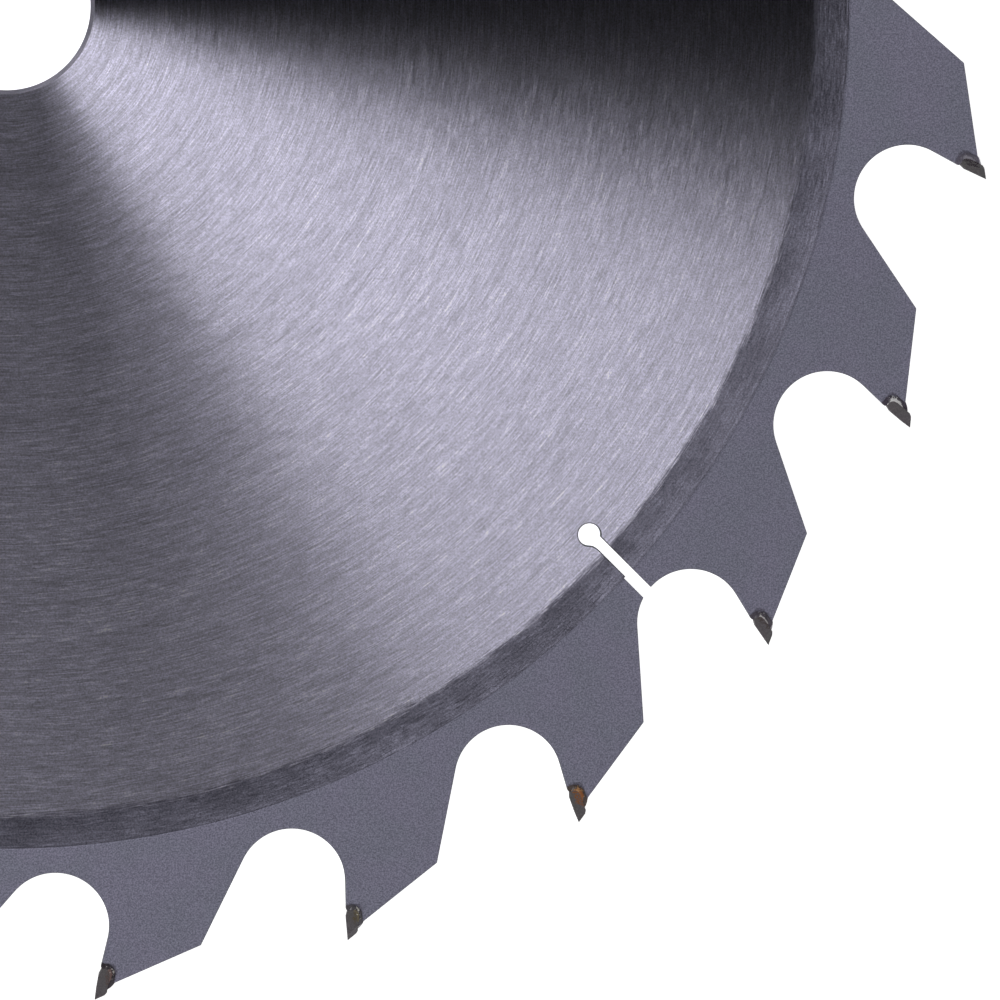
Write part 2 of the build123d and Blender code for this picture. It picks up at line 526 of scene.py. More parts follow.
class ToothPlace(Effect):
    """Where a point is on its tooth, in millimetres: out along its face, back behind it, beyond the tip."""

    title = "Place on the tooth"
    takes = {
        "Teeth": float(ToothShape.teeth),
        "First tooth": radians(ToothShape.first_tooth),
        "Tip radius": ToothShape.tip_radius,
        "Hook": radians(ToothShape.hook),
        "Tip length": ToothShape.tip_length,
        "Tip thickness": ToothShape.tip_thickness,
    }
    gives = {"Out": "Float", "Back": "Float", "Beyond": "Float"}
    share_ahead: float = 0.4

    def write(self, sheet: NodeSheet, given: Outputs) -> dict[str, Socket]:
        """Turns the point to the tooth that points along +X, then into the tip's plane. See Effect.write."""
        where = sheet.whereabouts()
        x, y, _ = sheet.split(where.place)
        pitch = sheet.math("DIVIDE", 2 * pi, given["Teeth"])
        ahead = sheet.times(pitch, self.share_ahead)
        turn = sheet.plus(sheet.minus(sheet.math("ARCTAN2", y, x), given["First tooth"]), ahead)
        turn = sheet.minus(sheet.math("FLOORED_MODULO", turn, pitch), ahead)
        rise = sheet.minus(sheet.times(where.radius, sheet.math("COSINE", turn)), given["Tip radius"])
        swing = sheet.times(where.radius, sheet.math("SINE", turn))
        lean, fall = sheet.math("COSINE", given["Hook"]), sheet.math("SINE", given["Hook"])
        out = sheet.minus(sheet.times(rise, lean), sheet.times(swing, fall))
        back = sheet.plus(sheet.times(rise, fall), sheet.times(swing, lean))

        def outside(value: Value, low: Value, size: Socket) -> Socket:
            """How far a number is outside a range that starts at low."""
            half = sheet.times(size, 0.5)
            away = sheet.math("ABSOLUTE", sheet.minus(value, sheet.plus(low, half)))
            return sheet.larger(sheet.minus(away, half), 0.0)

        length, thickness = given["Tip length"], given["Tip thickness"]
        apart = sheet.join(outside(out, sheet.times(length, -1.0), length), outside(back, 0.0, thickness))
        return {"Out": out, "Back": back, "Beyond": sheet.length(apart)}


# Finishes


@dataclass(frozen=True)
class BrushedSteel:
    """Steel brushed or ground in circles about the bore, so that it shines in fans.

    Its marks may slant to the circles everywhere, or swirl in near the bore, both in degrees.
    """

    colour: Colour
    roughness: float
    anisotropy: float
    mark_length: float
    mark_width: float
    contrast: float
    grain_contrast: float
    tilt_out: float
    tilt_round: float
    slant: float = 0.0
    bore_swirl: float = 0.0
    swirl_start: float = 10.0
    swirl_left: float = 0.95
    band_contrast: float = 0.5

    def shader(self, sheet: NodeSheet, where: Whereabouts, tone: Value = 1.0) -> tuple[Socket, Socket]:
        """Writes the finish into a material.

        Args:
            sheet: The material's sheet.
            where: The point that is shaded.
            tone: A factor on its colour.

        Returns:
            The shader and its marks.
        """
        tilts = {"tilt_out": self.tilt_out, "tilt_round": self.tilt_round}
        marks = BrushMarks().place(sheet, length=self.mark_length, width=self.mark_width, **tilts)
        contrasts = {"Marks": self.contrast, "Grain": self.grain_contrast, "Bands": self.band_contrast}
        for name, contrast in contrasts.items():
            tone = sheet.times(sheet.math("MULTIPLY_ADD", marks[name], contrast, 1.0), tone)
        # The highlight turns with the marks, whose swirl falls off by a fixed share in each millimetre
        nearness = sheet.math("POWER", self.swirl_left, sheet.minus(where.radius, self.swirl_start))
        turn = sheet.math("MULTIPLY_ADD", nearness, radians(self.bore_swirl), radians(self.slant))
        across = sheet.vector("ADD", where.outward, sheet.scaled(where.round, turn))
        feeds = {
            "Base Color": sheet.scaled(self.colour, tone),
            "Roughness": self.roughness,
            "Anisotropy": self.anisotropy,
            "Tangent": sheet.vector("NORMALIZE", across),
            "Normal": marks["Normal"],
        }
        return sheet.result("ShaderNodeBsdfMetallic", feeds, distribution="BECKMANN"), marks["Marks"]

    def material(self, name: str) -> Material:
        """The finish as a material of its own."""
        material, sheet = new_material(name)
        sheet.add("ShaderNodeOutputMaterial", {"Surface": self.shader(sheet, sheet.whereabouts())[0]})
        return material


@dataclass(frozen=True)
class PaintedStepLine:
    """A line of painted light along the band's outer step, standing in for the light on the step's slope:
    start, middle and end from the band's edge, and how much it lightens, less than 0 for painted shade.
    """

    start: float
    middle: float
    end: float
    lightening: float


@dataclass(frozen=True)
class PlateFace:
    """The plate's turned face: the brushed hub and, past a ragged edge, the ground band with painted shade
    and a painted highlight along its outer step.

    The hub is a little darker towards the bore, and the band towards the hub.
    """

    hub: BrushedSteel
    band: BrushedSteel
    hub_radius: float
    band_radius: float
    hub_fade: Span = (10.0, 65.0)
    hub_tones: Span = (0.9, 1.0)
    band_tones: Span = (0.84, 1.08)
    tone_margin: float = 0.5
    patch_fineness: float = 0.16
    patch_levels: Span = (0.35, 0.7)
    patch_tones: Span = (0.88, 1.25)
    line_levels: Span = (0.35, 0.6)
    line_strengths: Span = (0.35, 1.0)
    # Painted shade on the band's outer step, and a painted highlight just inside it
    painted_step_lines: tuple[PaintedStepLine, ...] = (PaintedStepLine(-0.12, 0.03, 0.2, -0.3), PaintedStepLine(-0.45, -0.25, -0.1, 0.2))
    edge_blur: float = 0.4
    edge_marks: float = 0.2
    edge_clouds: float = 0.7
    cloud_fineness: float = 0.4

    def band_tone(self, sheet: NodeSheet, where: Whereabouts) -> Socket:
        """How light the band is, with its patches, its lighter outer side, and the painted shade and painted
        highlight along its outer step.
        """
        edge = self.band_radius
        patches = sheet.noise(where.place, self.patch_fineness, seed=11)
        outer = sheet.ramp(where.radius, (self.hub_radius, edge - self.tone_margin), self.band_tones)
        tone = sheet.times(sheet.ramp(patches, self.patch_levels, self.patch_tones), outer)
        # Painted shade and a painted highlight along the band's outer step, patchy round it
        strength = sheet.ramp(patches, self.line_levels, self.line_strengths)
        shading: Value = 1.0
        for line in self.painted_step_lines:
            ridge = sheet.ridge(where.radius, edge + line.start, edge + line.middle, edge + line.end)
            shading = sheet.math("MULTIPLY_ADD", sheet.times(ridge, strength), line.lightening, shading)
        return sheet.times(tone, shading)

    def material(self) -> Material:
        """The finish as a material."""
        material, sheet = new_material("brushed_face")
        where = sheet.whereabouts()
        hub, marks = self.hub.shader(sheet, where, sheet.ramp(where.radius, self.hub_fade, self.hub_tones))
        band, _ = self.band.shader(sheet, where, self.band_tone(sheet, where))
        clouds = sheet.noise(where.place, self.cloud_fineness, seed=12, detail=3.0)
        ragged = sheet.math("MULTIPLY_ADD", marks, -self.edge_marks, where.radius)
        ragged = sheet.stray(ragged, clouds, -self.edge_clouds)
        share = sheet.ramp(ragged, (self.hub_radius - self.edge_blur, self.hub_radius + self.edge_blur))
        both = sheet.result("ShaderNodeMixShader", {0: share, 1: hub, 2: band})
        sheet.add("ShaderNodeOutputMaterial", {"Surface": both})
        return material


@dataclass(frozen=True)
class BrazeMark:
    """A mark round the braze on a metal, in a ragged patch on each tooth."""

    def over(self, sheet: NodeSheet, hue: Socket, speckle: Socket) -> Socket:
        """Lays the mark over a metal.

        Args:
            sheet: The material's sheet.
            hue: The metal's own colour.
            speckle: The metal's grain.

        Returns:
            The marked colour.
        """
        raise NotImplementedError

    @staticmethod
    def fraying(sheet: NodeSheet) -> Socket:
        """The noise that frays the mark's edge."""
        return sheet.noise(sheet.whereabouts().place, FRAY_FINENESS, seed=14, detail=3.0)


@dataclass(frozen=True)
class DarkSeatRing(BrazeMark):
    """The plate's steel, darkened round each tip up to a ragged line just past its braze."""

    strength: float = 0.4
    colour: Colour = (0.07, 0.052, 0.07)
    edge: Span = (0.5, 0.66)
    raggedness: float = 0.5

    def over(self, sheet: NodeSheet, hue: Socket, speckle: Socket) -> Socket:
        """Darkens the metal up to a ragged line round the tip. See BrazeMark.over."""
        beyond = sheet.stray(ToothPlace().place(sheet)["Beyond"], self.fraying(sheet), self.raggedness)
        return sheet.blend(sheet.times(sheet.ramp(beyond, self.edge, FALL), self.strength), hue, self.colour)


@dataclass(frozen=True)
class Wash(BrazeMark):
    """Braze washed over a tip's back, in a broken patch that is longer than it is wide."""

    colour: Colour
    reach: float
    centre: tuple[float, float] = (-2.4, 1.1)
    shortening: float = 0.55
    raggedness: float = 1.3
    blur: float = 0.08
    gap_fineness: float = 7.0
    gap_levels: Span = (0.40, 0.56)
    dark_levels: Span = (0.4, 0.7)
    dark_tone: float = 0.5

    def over(self, sheet: NodeSheet, hue: Socket, speckle: Socket) -> Socket:
        """Lays the wash about a point of the tip, darker in the metal's grain. See BrazeMark.over."""
        tooth = ToothPlace().place(sheet)
        out, back = self.centre
        along = sheet.times(sheet.minus(tooth["Out"], out), self.shortening)
        away = sheet.length(sheet.join(along, sheet.minus(tooth["Back"], back)))
        away = sheet.stray(away, self.fraying(sheet), self.raggedness)
        share = sheet.ramp(away, (self.reach - self.blur, self.reach + self.blur), FALL)
        gaps = sheet.ramp(sheet.noise(sheet.whereabouts().place, self.gap_fineness, seed=15), self.gap_levels)
        dark = tuple(self.dark_tone * part for part in self.colour)
        washed = sheet.blend(sheet.ramp(speckle, self.dark_levels), self.colour, dark)
        return sheet.blend(sheet.times(share, gaps), hue, washed)


@dataclass(frozen=True)
class MattMetal:
    """Blasted or cut steel, ground carbide or matt braze: a metal with a fine grain in two tones."""

    name: str
    colour: Colour
    shade: Colour
    roughness: float
    grain: float
    contrast: float
    depth: float
    metallic: float = 1.0
    gloss: float = 0.5
    mark: BrazeMark | None = None
    speckle_levels: Span = (0.25, 0.75)
    cloud_levels: Span = (0.35, 0.65)
    roughness_swing: float = -0.05

    def material(self) -> Material:
        """The finish as a material."""
        material, sheet = new_material(self.name)
        grain = BlastGrain().place(sheet, grain=self.grain, depth=self.depth)
        hue = sheet.blend(sheet.ramp(grain["Clouds"], self.cloud_levels), self.colour, self.shade)
        if self.mark:
            hue = self.mark.over(sheet, hue, grain["Speckle"])

        def speckled(middle: float, swing: float) -> Socket:
            """A number that follows the grain."""
            return sheet.ramp(grain["Speckle"], self.speckle_levels, (middle - swing, middle + swing))

        feeds = {
            "Base Color": sheet.scaled(hue, speckled(1.0, self.contrast)),
            "Metallic": self.metallic,
            "Specular IOR Level": self.gloss,
            "Roughness": speckled(self.roughness, self.roughness_swing),
            "Normal": grain["Normal"],
        }
        sheet.add("ShaderNodeOutputMaterial", {"Surface": sheet.result("ShaderNodeBsdfPrincipled", feeds)})
        return material


# Helper meshes and geometry trees


def thread(points: list[Vector], name: str, closed: bool = False) -> Piece:
    """A mesh of edges through flat points in millimetres, for a geometry tree to read.

    Args:
        points: The points, in order.
        name: The object's name.
        closed: Whether the last one joins the first.

    Returns:
        The object, which isn't in the scene.
    """
    mesh = bpy.data.meshes.new(name)
    edges = [(i, i + 1) for i in range(len(points) - 1)] + ([(len(points) - 1, 0)] if closed else [])
    mesh.from_pydata([(point.x * MM, point.y * MM, 0.0) for point in points], edges, [])
    return bpy.data.objects.new(name, mesh)


@dataclass
class ShapeTree:
    """A geometry tree with named inputs, baked to a plain mesh."""

    name: str
    inputs: dict[str, object]

    def __post_init__(self) -> None:
        """Makes the empty tree, with one input for each value."""
        kinds = {float: "Float", int: "Int", bpy.types.Object: "Object", Material: "Material"}
        self.tree = bpy.data.node_groups.new(self.name, "GeometryNodeTree")
        face = self.tree.interface
        for name, value in self.inputs.items():
            face.new_socket(name, in_out="INPUT", socket_type="NodeSocket" + kinds[type(value)])
        face.new_socket("Geometry", in_out="OUTPUT", socket_type="NodeSocketGeometry")
        self.sheet = NodeSheet(self.tree)
        self.given = self.sheet.add("NodeGroupInput").outputs

    def join(self, *parts: Socket) -> Socket:
        """Several geometries as one."""
        node = self.sheet.add("GeometryNodeJoinGeometry")
        for part in parts:
            self.sheet.feed(node.inputs[0], part)
        return node.outputs[0]

    def read(self, name: str) -> Socket:
        """The mesh of the object that an input names."""
        return self.sheet.add("GeometryNodeObjectInfo", {"Object": self.given[name]}).outputs["Geometry"]

    def curve(self, mesh: Socket) -> Socket:
        """A mesh of edges as a curve."""
        return self.sheet.result("GeometryNodeMeshToCurve", {"Mesh": mesh})

    def merged(self, geometry: Socket, distance: float) -> Socket:
        """A geometry with its points merged that are closer than a distance in millimetres."""
        feeds = {"Geometry": geometry, "Distance": distance * MM}
        return self.sheet.result("GeometryNodeMergeByDistance", feeds)

    def moved(self, geometry: Socket, chosen: Value, offset: Socket) -> Socket:
        """A geometry with its chosen points moved."""
        feeds = {"Geometry": geometry, "Selection": chosen, "Offset": offset}
        return self.sheet.result("GeometryNodeSetPosition", feeds)

    def dressed(self, geometry: Socket, chosen: Value, name: str) -> Socket:
        """A geometry with its chosen faces in the material that an input names."""
        feeds = {"Geometry": geometry, "Selection": chosen, "Material": self.given[name]}
        return self.sheet.result("GeometryNodeSetMaterial", feeds)

    def position(self) -> Socket:
        """Where each point is."""
        return self.sheet.result("GeometryNodeInputPosition")

    def height(self) -> Socket:
        """How far each point is from the plate's middle plane."""
        return self.sheet.math("ABSOLUTE", self.sheet.split(self.position())[2])

    def normal(self) -> Socket:
        """The way that each point or face looks."""
        return self.sheet.result("GeometryNodeInputNormal")

    def index(self) -> Socket:
        """Each point's number."""
        return self.sheet.result("GeometryNodeInputIndex")

    def keep(self, geometry: Socket, name: str, value: Socket, **settings: str) -> Socket:
        """Keeps a value with the geometry under a name, a number at each point unless it is set otherwise."""
        feeds = {"Geometry": geometry, "Name": name, "Value": value}
        return self.sheet.result("GeometryNodeStoreNamedAttribute", feeds, **settings)

    def kept(self, name: str, kind: str = "FLOAT") -> Socket:
        """A value that was kept under a name."""
        return self.sheet.result("GeometryNodeInputNamedAttribute", {"Name": name}, data_type=kind)

    def round_the_teeth(self, thing: Socket, chosen: Value = True) -> Socket:
        """Sets a thing at each chosen tooth, from the one along +X.

        Args:
            thing: What is set round.
            chosen: Which teeth take it.

        Returns:
            The copies.
        """
        sheet = self.sheet
        teeth = sheet.result("GeometryNodePoints", {"Count": self.given["Teeth"], "Radius": 0.0})
        pitch = sheet.math("DIVIDE", -2 * pi, self.given["Teeth"])
        turn = sheet.math("MULTIPLY_ADD", self.index(), pitch, self.given["First tooth"])
        turn = sheet.join(0.0, 0.0, turn)
        feeds = {"Points": teeth, "Selection": chosen, "Instance": thing, "Rotation": turn}
        return sheet.result("GeometryNodeInstanceOnPoints", feeds)

    def bake(self, result: Socket, name: str) -> Piece:
        """Runs the tree and keeps its result as a plain mesh.

        Args:
            result: The geometry that leaves the tree.
            name: The new piece's name.

        Returns:
            The new piece, in the scene.
        """
        self.sheet.add("NodeGroupOutput", {0: result})
        piece = bpy.data.objects.new(name, bpy.data.meshes.new(name))
        bpy.context.scene.collection.objects.link(piece)
        modifier = piece.modifiers.new(name, "NODES")
        modifier.node_group = self.tree
        for item in self.tree.interface.items_tree:
            if item.in_out == "INPUT":
                modifier[item.identifier] = self.inputs[item.name]
        graph = bpy.context.evaluated_depsgraph_get()
        mesh = bpy.data.meshes.new_from_object(piece.evaluated_get(graph), depsgraph=graph)
        piece.modifiers.clear()
        piece.data = mesh
        return piece


# The plate


@dataclass
class Plate:
    """The steel disc: brushed hub, ground band, blasted tooth zone, toothed edge and bore."""

    shape: ToothShape = ToothShape()
    slot_spacing: int = 6
    first_slot: int = 2
    bore: float = 8.0
    bore_chamfer: float = 0.4
    hub_radius: float = 77.0
    band_radius: float = 80.2
    step: float = 0.15
    hub_half: float = 0.85
    band_half: float = 0.82
    rim_half: float = 0.8
    edge_break: float = 0.05
    blank_margin: float = 1.0
    cutter_margin: float = 0.2
    ring_weld: float = 0.002
    weld: float = 0.001
    segments: int = 720
    crease: float = 25.0
    levelness: float = 0.9
    hub: BrushedSteel = BrushedSteel(
        colour=(0.60, 0.58, 0.72), roughness=0.28, anisotropy=1.0, mark_length=1.8, mark_width=0.125,
        contrast=0.27, grain_contrast=1.35, tilt_out=0.008, tilt_round=0.007, bore_swirl=-4.6,
    )
    band: BrushedSteel = BrushedSteel(
        colour=(0.150, 0.146, 0.189), roughness=0.48, anisotropy=0.90, mark_length=1.5, mark_width=0.15,
        contrast=0.24, grain_contrast=2.0, tilt_out=0.03, tilt_round=0.04, slant=-8.0,
    )
    turned: BrushedSteel = BrushedSteel(
        colour=(0.26, 0.25, 0.30), roughness=0.36, anisotropy=0.9, mark_length=2.0, mark_width=0.1,
        contrast=0.15, grain_contrast=0.8, tilt_out=0.02, tilt_round=0.03,
    )
    rim: MattMetal = MattMetal(
        name="blasted_rim", colour=(0.355, 0.344, 0.452), shade=(0.338, 0.338, 0.432), roughness=0.6,
        grain=0.15, contrast=0.34, depth=0.2, mark=DarkSeatRing(),
    )
    wall: MattMetal = MattMetal(
        name="cut_edge", colour=(0.19, 0.19, 0.205), shade=(0.16, 0.17, 0.17), roughness=0.5, grain=0.12,
        contrast=0.2, depth=0.3,
    )

    def blank(self) -> Piece:
        """The turned blank that the teeth are cut from: one section of bore, hub, band and rim."""
        half = [
            (self.bore, self.hub_half - self.bore_chamfer),
            (self.bore + self.bore_chamfer, self.hub_half),
            (self.hub_radius, self.hub_half),
            (self.band_radius, self.band_half),
            (self.band_radius + self.step, self.rim_half),
            (self.shape.tip_radius + self.blank_margin, self.rim_half),
        ]
        section = half + [(radius, -height) for radius, height in reversed(half)]
        count, around = len(section), self.segments
        turns = [2 * pi * i / around for i in range(around)]
        points = [(r * cos(t) * MM, r * sin(t) * MM, z * MM) for t in turns for r, z in section]

        def quad(i: int, j: int) -> tuple[int, int, int, int]:
            """The face from section point j to the next, and from turn i to the next."""
            this, that = i * count, (i + 1) % around * count
            k = (j + 1) % count
            return this + j, that + j, that + k, this + k

        mesh = bpy.data.meshes.new("blank")
        mesh.from_pydata(points, [], [quad(i, j) for i in range(around) for j in range(count)])
        return bpy.data.objects.new("blank", mesh)

    def outline(self, work: ShapeTree) -> Socket:
        """The blade's whole edge as one flat face, with a slot at every so many teeth."""
        sheet, given = work.sheet, work.given
        since_slot = sheet.minus(work.index(), given["First slot"])
        past_slot = sheet.math("FLOORED_MODULO", since_slot, given["Slot spacing"])
        slotted = sheet.math("COMPARE", past_slot, 0.0, 0.5)
        teeth = {"Tooth edge": sheet.minus(1.0, slotted), "Slotted edge": slotted}
        edges = work.join(*(work.round_the_teeth(work.read(name), chosen) for name, chosen in teeth.items()))
        ring = work.merged(sheet.result("GeometryNodeRealizeInstances", {0: edges}), self.ring_weld)
        return sheet.result("GeometryNodeFillCurve", {"Curve": work.curve(ring)}, mode="NGONS")

    def cutter(self, work: ShapeTree, flat: Socket) -> Socket:
        """A prism of the outline, which narrows past each face of the plate and so breaks its edges."""
        sheet, given = work.sheet, work.given
        depth = sheet.plus(given["Rim half"], self.cutter_margin * MM)
        waist = sheet.minus(given["Rim half"], given["Edge break"])
        slope = sheet.minus(depth, waist)
        drop = sheet.join(0.0, 0.0, sheet.times(depth, -1.0))
        foot = sheet.result("GeometryNodeTransform", {"Geometry": flat, "Translation": drop})
        grown, chosen = foot, True
        upward = {"Offset": (0.0, 0.0, 1.0), "Individual": False}
        for rise in (slope, sheet.times(waist, 2.0), slope):
            feeds = {"Mesh": grown, "Selection": chosen, "Offset Scale": rise, **upward}
            step = sheet.add("GeometryNodeExtrudeMesh", feeds, mode="FACES")
            grown, chosen = step.outputs["Mesh"], step.outputs["Top"]
        foot = sheet.result("GeometryNodeFlipFaces", {"Mesh": foot})
        solid = work.merged(work.join(grown, foot), self.weld)
        ends = sheet.math("GREATER_THAN", work.height(), given["Rim half"])
        outward = sheet.vector("NORMALIZE", sheet.vector("MULTIPLY", work.normal(), (1.0, 1.0, 0.0)))
        return work.moved(solid, ends, sheet.scaled(outward, sheet.times(slope, -1.0)))

    def finish(self, work: ShapeTree, cut: Socket) -> Socket:
        """Gives each zone its finish, and smooths the turned and cut walls."""
        sheet, given = work.sheet, work.given
        x, y, _ = sheet.split(work.position())
        radius = sheet.length(sheet.join(x, y))
        facing = sheet.math("ABSOLUTE", sheet.split(work.normal())[2])
        level = sheet.math("GREATER_THAN", facing, self.levelness)
        in_rim = sheet.math("GREATER_THAN", radius, given["Band radius"])
        in_bore = sheet.math("LESS_THAN", radius, sheet.plus(given["Bore"], given["Bore chamfer"]))
        zones = {"Wall": True, "Turned": in_bore, "Face": level, "Rim": sheet.times(level, in_rim)}
        for name, chosen in zones.items():
            cut = work.dressed(cut, chosen, name)
        feeds = {"Geometry": cut, "Shade Smooth": sheet.minus(1.0, level)}
        cut = sheet.result("GeometryNodeSetShadeSmooth", feeds)
        bend = sheet.add("GeometryNodeInputMeshEdgeAngle").outputs["Unsigned Angle"]
        creased = sheet.math("GREATER_THAN", bend, radians(self.crease))
        feeds = {"Geometry": cut, "Selection": creased, "Shade Smooth": False}
        return sheet.result("GeometryNodeSetShadeSmooth", feeds, domain="EDGE")

    def build(self) -> Piece:
        """Builds the plate in place of its solid.

        Returns:
            The plate.
        """
        work = ShapeTree(
            "Toothed plate",
            {
                "Blank": self.blank(),
                "Tooth edge": thread(self.shape.edge(False), "tooth_edge"),
                "Slotted edge": thread(self.shape.edge(True), "slotted_edge"),
                "Teeth": self.shape.teeth,
                "First tooth": radians(self.shape.first_tooth),
                "Slot spacing": self.slot_spacing,
                "First slot": self.first_slot,
                "Rim half": self.rim_half * MM,
                "Edge break": self.edge_break * MM,
                "Band radius": self.band_radius * MM,
                "Bore": self.bore * MM,
                "Bore chamfer": self.bore_chamfer * MM,
                "Face": PlateFace(self.hub, self.band, self.hub_radius, self.band_radius).material(),
                "Rim": self.rim.material(),
                "Wall": self.wall.material(),
                "Turned": self.turned.material("turned_bore"),
            },
        )
        both = work.sheet.add("GeometryNodeMeshBoolean", operation="INTERSECT", solver="MANIFOLD")
        for part in (work.read("Blank"), self.cutter(work, self.outline(work))):
            work.sheet.feed(both.inputs["Mesh 2"], part)
        piece = work.bake(self.finish(work, both.outputs["Mesh"]), "blade_plate")
        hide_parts("plate")
        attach(piece, "root")
        return piece


# The tips and their braze


@dataclass(frozen=True)
class Flow:
    """How braze looks once it has set, with its light painted in: a painted highlight by the tip, flux and
    painted shade at its edge and ends, and painted glints.

    Lengthwise places run from 0 at the top of the tip's back to 1 at its toe.
    """

    inner: Colour
    outer: Colour
    glints: Colour
    bright_share: float
    glint_amount: float
    wash: Wash | None = None
    edge_fineness: float = 3.2
    raggedness: float = 1.1
    blur: float = 0.08
    # Where along the bead the painted highlight gives way to painted shade at its top and toe, and by how
    # much
    top_shade_span: Span = (0.0, 0.16)
    toe_shade_span: Span = (0.66, 0.8)
    top_shade: float = 0.5
    toe_shade: float = 0.6
    # Painted glints
    spot_fineness: float = 5.0
    spot_levels: Span = (0.74, 0.80)
    spot_gain: float = 0.3
    corner: tuple[float, float, float] = (0.4, 0.62, 0.85)
    corner_glints: float = 0.15

    def material(self, name: str) -> Material:
        """The finish as a material, which follows the bead's own lengthwise and crosswise places."""
        material, sheet = new_material(name)
        across = sheet.add("ShaderNodeAttribute", attribute_name="across").outputs["Fac"]
        along = sheet.add("ShaderNodeAttribute", attribute_name="along").outputs["Fac"]
        place = sheet.whereabouts().place
        # The painted highlight by the tip gives way to flux and painted shade towards the bead's outer edge
        # and its ends
        top = sheet.ramp(along, self.top_shade_span, (self.top_shade, 0.0))
        toe = sheet.ramp(along, self.toe_shade_span, (0.0, self.toe_shade))
        fraying = sheet.noise(place, self.edge_fineness, seed=21, detail=3.0)
        edge = sheet.plus(sheet.stray(across, fraying, self.raggedness), sheet.plus(toe, top))
        flux_and_shade = sheet.ramp(edge, (self.bright_share - self.blur, self.bright_share + self.blur))
        # Painted glints, more of them at the inner corner
        fleck = sheet.noise(place, self.spot_fineness, seed=22, roughness=0.55)
        spot = sheet.plus(fleck, sheet.times(sheet.ridge(along, *self.corner), self.corner_glints))
        levels = tuple(level - self.spot_gain * self.glint_amount for level in self.spot_levels)
        hue = sheet.blend(sheet.ramp(spot, levels), sheet.blend(flux_and_shade, self.inner, self.outer), self.glints)
        bump = sheet.result("ShaderNodeBump", {"Strength": 0.4, "Distance": 0.03 * MM, "Height": fleck})
        feeds = {"Base Color": hue, "Metallic": 0.1, "Roughness": 0.3, "Normal": bump}
        sheet.add("ShaderNodeOutputMaterial", {"Surface": sheet.result("ShaderNodeBsdfPrincipled", feeds)})
        return material


class BrazeLook(Enum):
    """The six looks of the braze, in the order of the teeth."""

    # Each look's inner colour is its braze under a painted highlight, its outer colour is flux and painted
    # shade, and its glints are painted
    PLUM = Flow(
        inner=(0.36, 0.34, 0.40), outer=(0.17, 0.155, 0.20), glints=(0.42, 0.40, 0.46), bright_share=0.42,
        glint_amount=0.15, wash=Wash((0.060, 0.045, 0.062), 0.60),
    )
    SILVER = Flow(
        inner=(0.95, 0.93, 0.94), outer=(0.075, 0.06, 0.085), glints=(0.95, 0.95, 0.95), bright_share=0.55,
        glint_amount=0.25,
    )
    GREY = Flow(
        inner=(0.70, 0.67, 0.68), outer=(0.115, 0.10, 0.125), glints=(0.85, 0.82, 0.82), bright_share=0.20,
        glint_amount=0.20, wash=Wash((0.14, 0.11, 0.11), 0.45),
    )
    COPPER = Flow(
        inner=(0.46, 0.175, 0.07), outer=(0.13, 0.10, 0.09), glints=(0.66, 0.36, 0.15), bright_share=0.58,
        glint_amount=0.46, wash=Wash((0.40, 0.16, 0.062), 0.66),
    )
    STRAW = Flow(
        inner=(0.24, 0.20, 0.13), outer=(0.13, 0.12, 0.135), glints=(0.85, 0.82, 0.75), bright_share=0.45,
        glint_amount=0.32, wash=Wash((0.19, 0.15, 0.09), 0.36),
    )
    ROSE = Flow(
        inner=(0.26, 0.17, 0.16), outer=(0.07, 0.058, 0.07), glints=(0.92, 0.88, 0.85), bright_share=0.42,
        glint_amount=0.32, wash=Wash((0.19, 0.135, 0.13), 0.42),
    )

    def material(self) -> Material:
        """The braze's finish as a material."""
        return self.value.material("braze_" + self.name.lower())

    @classmethod
    def of_tooth(cls, index: int) -> "BrazeLook":
        """The look of a tooth by its number from 0. Each row of teeth starts a few looks further on."""
        return list(cls)[(index + ROW_SHIFT * (index // len(cls))) % len(cls)]

    @classmethod
    def dress(cls, nodes: list[Piece], materials: dict["BrazeLook", Material]) -> None:
        """Gives the solids of all teeth the materials of their looks."""
        for index, node in enumerate(nodes):
            node.data.materials.clear()
            node.data.materials.append(materials[cls.of_tooth(index)])


@dataclass
class CarbideTips:
    """The carbide teeth, ground on every side, with the braze washed over the backs of some."""

    nodes: list[Piece]
    colour: Colour = (0.172, 0.156, 0.170)
    shade: Colour = (0.160, 0.152, 0.152)
    edge_width: float = 0.03
    weld: float = 0.001
    crease: float = 25.0

    def dress(self) -> list[Piece]:
        """Gives the tips their finish and breaks their edges.

        Returns:
            The tips.
        """
        BrazeLook.dress(self.nodes, {look: self.finish(look).material() for look in BrazeLook})
        for node in self.nodes:
            weld = node.modifiers.new("corners", "WELD")
            weld.merge_threshold = self.weld * MM
            bevel = node.modifiers.new("edges", "BEVEL")
            bevel.width, bevel.segments = self.edge_width * MM, 2
            bevel.limit_method, bevel.angle_limit = "ANGLE", radians(self.crease)
        return self.nodes

    def finish(self, look: BrazeLook) -> MattMetal:
        """Ground carbide with a look's wash of braze on its back."""
        return MattMetal(
            name="ground_carbide_" + look.name.lower(), colour=self.colour, shade=self.shade, roughness=0.6,
            grain=0.14, contrast=0.22, depth=0.15, metallic=0.0, gloss=0.03, mark=look.value.wash,
        )


